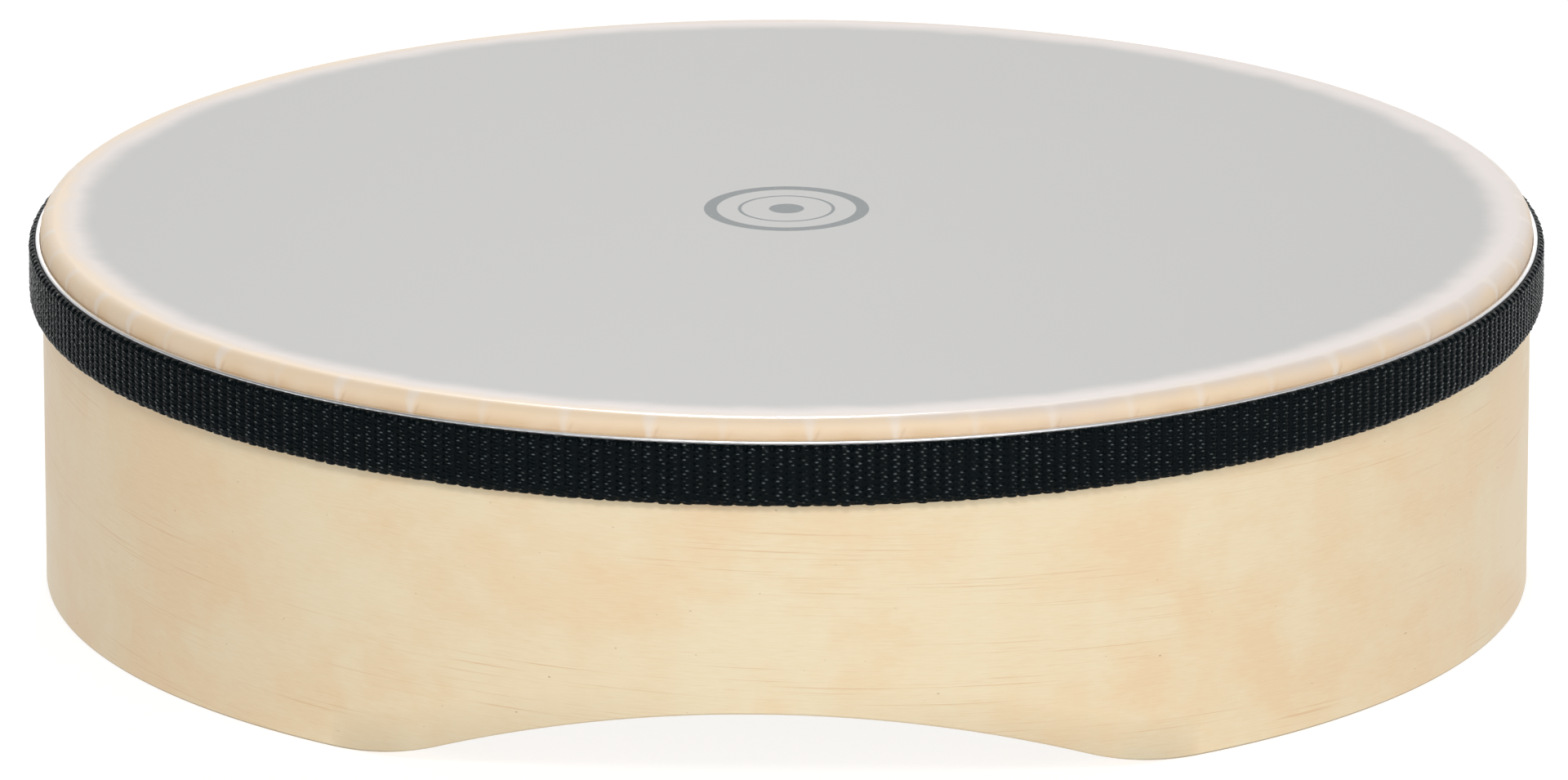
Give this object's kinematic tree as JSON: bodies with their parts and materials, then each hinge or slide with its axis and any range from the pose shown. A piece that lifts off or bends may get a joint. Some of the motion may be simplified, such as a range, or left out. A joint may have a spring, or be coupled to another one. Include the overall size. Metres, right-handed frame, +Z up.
{
  "type": "frame drum",
  "caption": "Round hand-held frame drum: a shallow wooden ring with a hand-grip arch, a stretched film head, a steel hoop strip and a black webbing band.",
  "frame": {"origin": "centre of the shell's bottom edge, in the plane that the drum stands on", "axes": "+Z up along the drum's axis, from the open side to the head; -Y towards the grip arch; +Y towards the place where the webbing's ends meet"},
  "size_m": [0.2584, 0.2589, 0.0635],
  "materials": {
    "shell_face": "clear satin lacquer over pale beech veneer",
    "shell_core": "bare cut edge of birch veneer",
    "head_film": "satin translucent polyester film",
    "hoop_steel": "bright plated strip",
    "brad_steel": "plain steel",
    "webbing": "ribbed woven polypropylene tape",
    "tack_steel": "blackened steel, domed head"
  },
  "bodies": {
    "root": {"outer_ply": "shell_face", "outer_cross_ply": "shell_core", "core_ply": "shell_core", "inner_cross_ply": "shell_core", "inner_ply": "shell_face", "head_film": "head_film", "hoop_strip": "hoop_steel", "hoop_brads": "brad_steel", "webbing_band": "webbing", "webbing_tacks": "tack_steel"}
  },
  "joints": []
}
